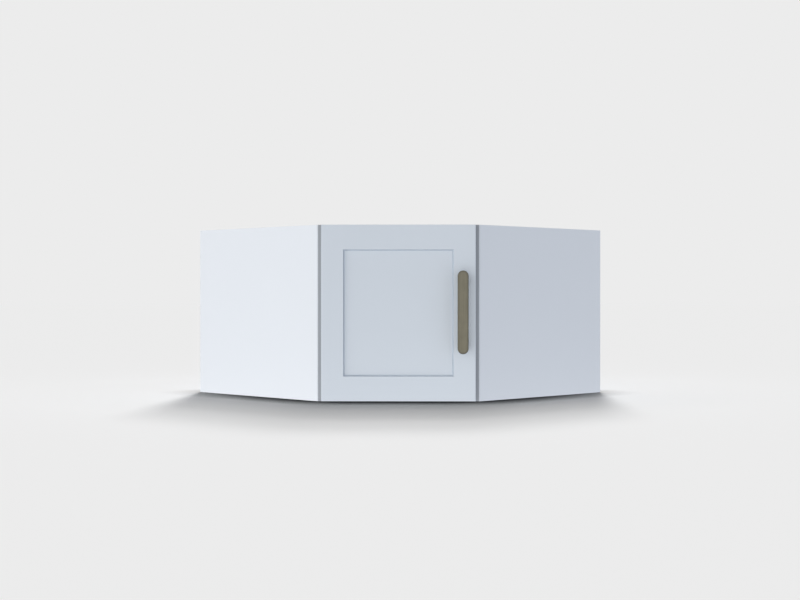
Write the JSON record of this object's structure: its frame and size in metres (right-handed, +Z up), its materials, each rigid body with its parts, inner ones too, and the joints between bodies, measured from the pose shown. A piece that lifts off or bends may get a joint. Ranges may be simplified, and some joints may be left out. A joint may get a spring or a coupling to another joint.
{
  "type": "diagonal corner wall cabinet",
  "caption": "Wall cabinet for a room corner, with a diagonal front, a framed door on concealed hinges, an upright bar handle and a loose shelf.",
  "frame": {"origin": "middle of the underside of the whole object, handle included", "axes": "+Z up, the door faces -Y, the room corner is on the +Y side, +X to the right as seen from the front"},
  "size_m": [1.1314, 0.9706, 0.457],
  "materials": {
    "white_board": "cool white satin coating on board",
    "white_band": "cool white satin",
    "grey_band": "light grey satin",
    "door_paint": "cool white satin paint",
    "aged_bronze": "brushed, aged bronze",
    "nickel": "satin nickel plating",
    "bright_steel": "bright zinc plating",
    "cast_zinc": "as cast",
    "beech": "plain, fluted",
    "clear_bumper": "clear, soft"
  },
  "bodies": {
    "carcass": {"bottom_board": "white_board", "top_board": "white_board", "left_end_panel": "white_board", "right_end_panel": "white_board", "left_back_panel": "white_board", "right_back_panel": "white_board", "shelf": "white_board", "bottom_edge_band": "white_band", "top_edge_band": "white_band", "shelf_edge_band": "white_band", "left_end_edge_band": "grey_band", "right_end_edge_band": "grey_band", "shelf_pins": "bright_steel", "cam_locks": "cast_zinc", "cam_bolts": "bright_steel", "dowels": "beech", "back_screws": "bright_steel", "lower_hinge_arm": "nickel", "upper_hinge_arm": "nickel", "lower_arm_rivets": "bright_steel", "upper_arm_rivets": "bright_steel", "lower_mounting_plate": "nickel", "upper_mounting_plate": "nickel", "plate_screws": "bright_steel", "arm_screws": "bright_steel"},
    "outer_links": {"lower_outer_link": "nickel", "upper_outer_link": "nickel"},
    "door": {"left_stile": "door_paint", "right_stile": "door_paint", "top_rail": "door_paint", "bottom_rail": "door_paint", "centre_panel": "door_paint", "handle_grip": "aged_bronze", "handle_posts": "aged_bronze", "handle_screws": "bright_steel", "door_bumpers": "clear_bumper", "lower_hinge_cup": "nickel", "upper_hinge_cup": "nickel", "lower_cup_rivets": "bright_steel", "upper_cup_rivets": "bright_steel", "cup_screws": "bright_steel"},
    "inner_links": {"lower_inner_link": "nickel", "upper_inner_link": "nickel"}
  },
  "joints": [
    {"name": "outer_link_swing", "type": "hinge", "parent": "carcass", "child": "outer_links", "pos_m": [-0.16512, -0.43793, 0.229], "axis": [0, 0, -1], "range_deg": [-46.5, 0]},
    {"name": "door_swing", "type": "hinge", "parent": "outer_links", "child": "door", "pos_m": [-0.18592, -0.43883, 0.229], "axis": [0, 0, -1], "range_deg": [0, 141.46]},
    {"name": "inner_link_swing", "type": "hinge", "parent": "door", "child": "inner_links", "pos_m": [-0.18852, -0.44453, 0.229], "axis": [0, 0, -1], "range_deg": [-110.1, 0]}
  ],
  "couplings": [
    {"joint": "outer_link_swing", "follows": "door_swing", "ratio": -0.32841},
    {"joint": "inner_link_swing", "follows": "door_swing", "ratio": -0.7777}
  ]
}
